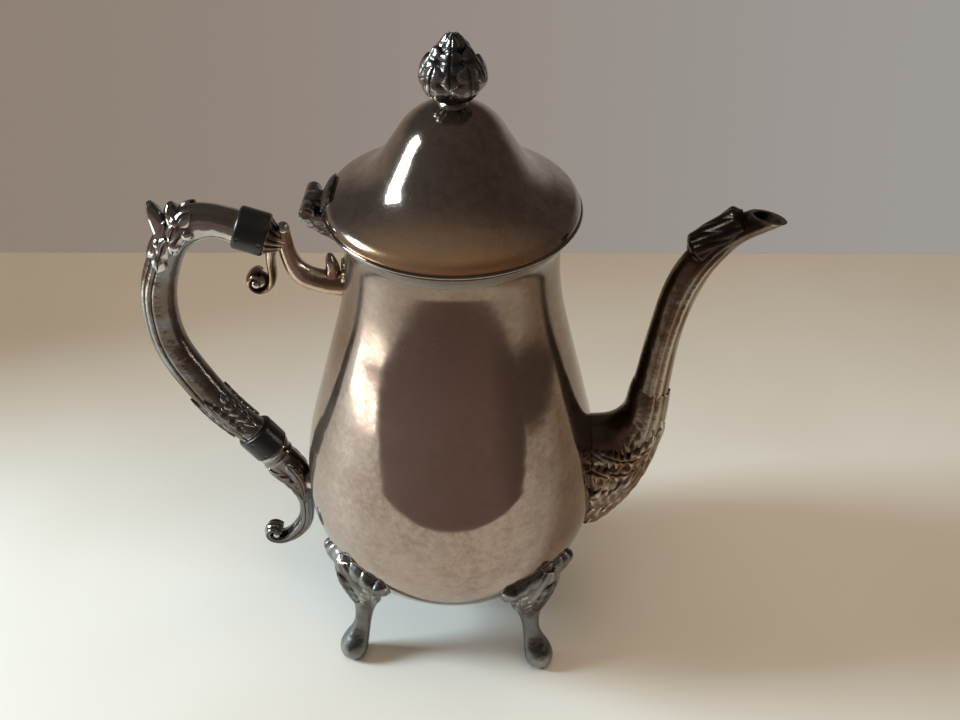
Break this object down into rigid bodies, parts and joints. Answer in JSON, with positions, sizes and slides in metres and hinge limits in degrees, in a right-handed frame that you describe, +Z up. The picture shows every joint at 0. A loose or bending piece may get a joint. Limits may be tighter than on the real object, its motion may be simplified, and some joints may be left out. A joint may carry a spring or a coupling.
{
  "type": "coffee pot",
  "caption": "Footed pear-shaped coffee pot with a hinged bell lid and bud finial, a scrolled handle between black insulators and a tall curved spout.",
  "frame": {"origin": "on the table, under the middle of the pot's bounding box, which is on the axis of the body", "axes": "+Z up along the axis of the body, +X towards the spout, -X towards the handle, -Y towards the viewer"},
  "size_m": [0.2481, 0.1246, 0.2795],
  "materials": {
    "spun_silver_plate": "spun brass, silver plated, polished and lightly tarnished",
    "cast_silver_plate": "cast brass, silver plated, dark patina in the recesses",
    "black_insulator": "moulded, black, satin",
    "fastener_brass": "turned, plain"
  },
  "bodies": {
    "pot": {"body_shell": "spun_silver_plate", "base_disc": "spun_silver_plate", "mouth_ring": "spun_silver_plate", "spout_half_front": "cast_silver_plate", "spout_half_rear": "cast_silver_plate", "upper_handle_socket": "cast_silver_plate", "upper_insulator": "black_insulator", "upper_insulator_pins": "fastener_brass", "handle_grip": "cast_silver_plate", "lower_insulator": "black_insulator", "lower_insulator_pins": "fastener_brass", "lower_handle_socket": "cast_silver_plate", "foot_front_left": "cast_silver_plate", "foot_front_right": "cast_silver_plate", "foot_rear_left": "cast_silver_plate", "foot_rear_right": "cast_silver_plate", "hinge_body_leaf": "cast_silver_plate", "hinge_pin": "fastener_brass"},
    "lid": {"lid_shell": "spun_silver_plate", "lid_rim_wire": "spun_silver_plate", "lid_bezel": "spun_silver_plate", "hinge_lid_leaf": "cast_silver_plate", "finial": "cast_silver_plate", "finial_washer": "fastener_brass", "finial_nut": "fastener_brass"}
  },
  "joints": [
    {"name": "lid_hinge", "type": "hinge", "parent": "pot", "child": "lid", "pos_m": [-0.053, 0, 0.2121], "axis": [0, -1, 0], "range_deg": [0, 100]}
  ]
}
